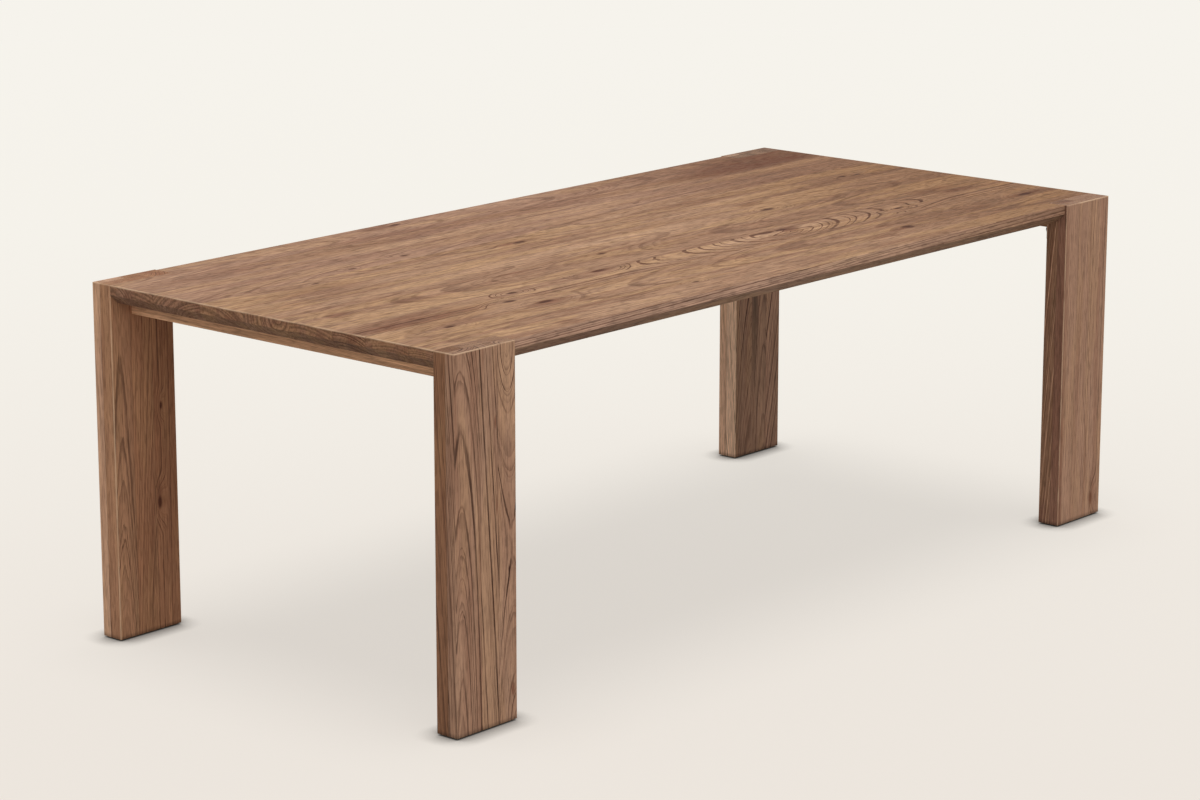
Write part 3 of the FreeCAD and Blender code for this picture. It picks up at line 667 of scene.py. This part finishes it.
# what is under the top
rails = {
    # painted light: the left end rail is much paler than the right one, standing in for the light it gets
    # under the overhang of the top
    "end_rail_left": {"pale": (238, 190, 152), "deep": (216, 168, 130), "ringStrength": 0.25, "seed": 91.0},
    "end_rail_right": {"pale": (190, 144, 110), "deep": (166, 122, 92), "ringStrength": 0.25, "seed": 93.5},
    "batten_left": {"pale": (178, 140, 110), "deep": (150, 114, 88), "seed": 96.1},
    "batten_middle": {"pale": (178, 140, 110), "deep": (150, 114, 88), "seed": 98.7},
    "batten_right": {"pale": (178, 140, 110), "deep": (150, 114, 88), "seed": 101.2},
}
for node, recipe in rails.items():
    elmMaterial(node, "Y", recipe)
print("rails and battens finished:", len(rails))


# metal and plastic under the top
blackCoat = {"base": (34, 33, 32), "rubbed": (62, 60, 58), "roughness": 0.5}
nylon = {"base": (46, 42, 39), "rubbed": (78, 72, 66), "roughness": 0.42}
zinc = {"base": (196, 196, 192), "dull": (150, 150, 146), "roughness": 0.34}
brass = {"base": (206, 172, 104), "dull": (168, 134, 78), "roughness": 0.32}
peeling = {"rate": 900, "uneven": 0.2, "relief": 0.3, "reliefDepth": 0.0003}
scuffing = {"rate": 60, "shows": (0.55, 0.75), "share": 0.25}
clouding = {"rate": 240, "shows": (0.35, 0.7), "uneven": 0.3}
toolMarks = {"rate": (300, 300, 4000), "relief": 0.15, "reliefDepth": 0.0002}


def powderCoat(name, coat):
    material, wire = newMaterial(name)
    place = wire.node("ShaderNodeTexCoord", output="Object")
    peel = place.stretch([peeling["rate"]] * 3).noise(2)
    scuff = place.stretch([scuffing["rate"]] * 3).noise(4).ease(*scuffing["shows"])
    finishSurface(wire, {
        "Base Color": (scuff * scuffing["share"]).tint(colour(*coat["base"]), colour(*coat["rubbed"])),
        "Roughness": coat["roughness"] + (peel - 0.5) * peeling["uneven"],
        "Normal": bump(wire, peeling, peel),
    })
    return material


def plating(name, metal):
    material, wire = newMaterial(name)
    place = wire.node("ShaderNodeTexCoord", output="Object")
    cloud = place.stretch([clouding["rate"]] * 3).noise(3)
    turned = place.stretch(toolMarks["rate"]).noise(1)
    finishSurface(wire, {
        "Base Color": cloud.ease(*clouding["shows"]).tint(colour(*metal["base"]), colour(*metal["dull"])),
        "Metallic": 1.0,
        "Roughness": metal["roughness"] + (cloud - 0.5) * clouding["uneven"],
        "Normal": bump(wire, toolMarks, turned),
    })
    return material


bracketMaterial = powderCoat("black_powder_coat", blackCoat)
for corner in corners:
    dressNode("leg_bracket_" + corner, bracketMaterial)
zincMaterial = plating("zinc_plate", zinc)
for node in ("rail_screws", "batten_screws", "bracket_screws", "leg_bolts"):
    dressNode(node, zincMaterial)
dressNode("threaded_inserts", plating("brass", brass))
dressNode("foot_glides", powderCoat("dark_nylon", nylon))
print("fittings finished")


# the room: a pale floor that runs off into the same pale colour
room = {
    "near": (237, 230, 222),
    "far": (246, 243, 236),
    "gradeTowards": (0.75, 0.66, 0.0),
    "gradeFrom": -3.2,      # where the floor goes from the darker near colour to the paler far one
    "gradeTo": 4.5,
    "floorSize": 60.0,
    "blendFrom": 7.0,       # past here it runs into the backdrop's colour whichever way one looks
    "blendTo": 20.0,
    "fadeFrom": 4.0,        # past here the shadow has gone and the floor is the backdrop
    "fadeTo": 9.0,
    "paleShare": 0.73,      # how much of the floor's paleness no shadow reaches
    "bounce": 0.7,          # how much of the floor's light comes back up under the table
    "cornerReach": 0.05,    # how far out the floor's glow gets a painted contact shadow round the feet
    "skyTint": (1.0, 0.985, 0.965, 1.0),
    "skyStrength": 0.5,
}


def backdropGlow(wire):  # 1 for what the camera, a mirror or glass sees
    seen = wire.node("ShaderNodeLightPath", output="Is Camera Ray")
    return seen.larger(seen.other("Is Glossy Ray")).larger(seen.other("Is Transmission Ray"))


bpy.ops.mesh.primitive_plane_add(size=room["floorSize"], location=(0, 0, 0))
floor = bpy.context.active_object
floor.name = "floor"
floorMaterial, wire = newMaterial("pale_floor")
place = wire.node("ShaderNodeTexCoord", output="Object")
outward = place.along(room["gradeTowards"])
tinted = outward.ease(room["gradeFrom"], room["gradeTo"]).tint(colour(*room["near"]), colour(*room["far"]))
away = place.length()
tinted = away.ease(room["blendFrom"], room["blendTo"]).tint(tinted, colour(*room["far"]))
fade = away.ease(room["fadeFrom"], room["fadeTo"])
seen = backdropGlow(wire)
lift = seen * fade.atLeast(room["paleShare"])
bounced = tinted.shade(seen.atLeast(room["bounce"]))
matt = wire.node("ShaderNodeBsdfDiffuse", {}, {"Color": bounced})
# painted shadow: the glow the camera sees is darkened where the floor is closed in, round the feet
contact = {"Distance": room["cornerReach"]}
openness = wire.node("ShaderNodeAmbientOcclusion", {"samples": 8}, contact, "AO")
glow = wire.node("ShaderNodeEmission", {}, {"Color": tinted.shade(openness * openness)})
mixed = wire.node("ShaderNodeMixShader", {}, {0: lift, 1: matt, 2: glow})
below = wire.node("ShaderNodeNewGeometry", output="Backfacing")  # a low view sees past the floor
clear = wire.node("ShaderNodeBsdfTransparent")
opened = wire.node("ShaderNodeMixShader", {}, {0: below, 1: mixed, 2: clear})
wire.node("ShaderNodeOutputMaterial", {}, {"Surface": opened})
floor.data.materials.append(floorMaterial)
floor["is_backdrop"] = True

world = bpy.data.worlds.new("studio")
bpy.context.scene.world = world
world.use_nodes = True
world.node_tree.nodes.clear()
wire = Wire(world.node_tree)
sky = wire.node("ShaderNodeBackground", {}, {"Color": room["skyTint"], "Strength": room["skyStrength"]})
backdrop = wire.node("ShaderNodeBackground", {}, {"Color": colour(*room["far"]), "Strength": 1.0})
both = wire.node("ShaderNodeMixShader", {}, {0: backdropGlow(wire), 1: sky, 2: backdrop})
wire.node("ShaderNodeOutputWorld", {}, {"Surface": both})

# two broad even lamps, like a ceiling of soft boxes: one for the table, and one above it for the floor
softboxes = {
    "table_softbox": {"towards": (-0.16, -0.5, 1.0), "spread": 75, "strength": 1.7, "floor": "EXCLUDE"},
    "floor_softbox": {"towards": (0.0, 0.0, 1.0), "spread": 38, "strength": 1.5, "floor": "INCLUDE"},
}
lampTint = (1.0, 0.985, 0.965)
for name, softbox in softboxes.items():
    towards = Vector(softbox["towards"])
    light = bpy.data.lights.new(name, "SUN")
    light.energy = softbox["strength"]
    light.angle = math.radians(softbox["spread"])
    light.color = lampTint
    lamp = bpy.data.objects.new(name, light)
    bpy.context.scene.collection.objects.link(lamp)
    lamp.location = towards * 3
    lamp.rotation_euler = towards.to_track_quat("Z", "Y").to_euler()
    receivers = bpy.data.collections.new(name + "_receivers")  # so that the shadow stays under the table
    receivers.objects.link(floor)
    receivers.collection_objects[0].light_linking.link_state = softbox["floor"]
    lamp.light_linking.receiver_collection = receivers

view = {"place": (-5.885, -5.067, 2.264), "yaw": 41.23, "pitch": -13.55, "lens": 108.7}
camera = bpy.data.cameras.new("camera")
camera.sensor_width = 36.0
camera.lens = view["lens"]
camera.clip_end = 200.0
cameraObject = bpy.data.objects.new("camera", camera)
bpy.context.scene.collection.objects.link(cameraObject)
cameraObject.location = view["place"]
cameraObject.rotation_euler = (math.radians(90 + view["pitch"]), 0, math.radians(view["yaw"] - 90))
bpy.context.scene.camera = cameraObject
bpy.context.scene.view_settings.view_transform = "Standard"
print("room, lamps and camera placed")

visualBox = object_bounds()
boxes = {"cad": [list(corner) for corner in cadBox], "visual": [list(corner) for corner in visualBox]}
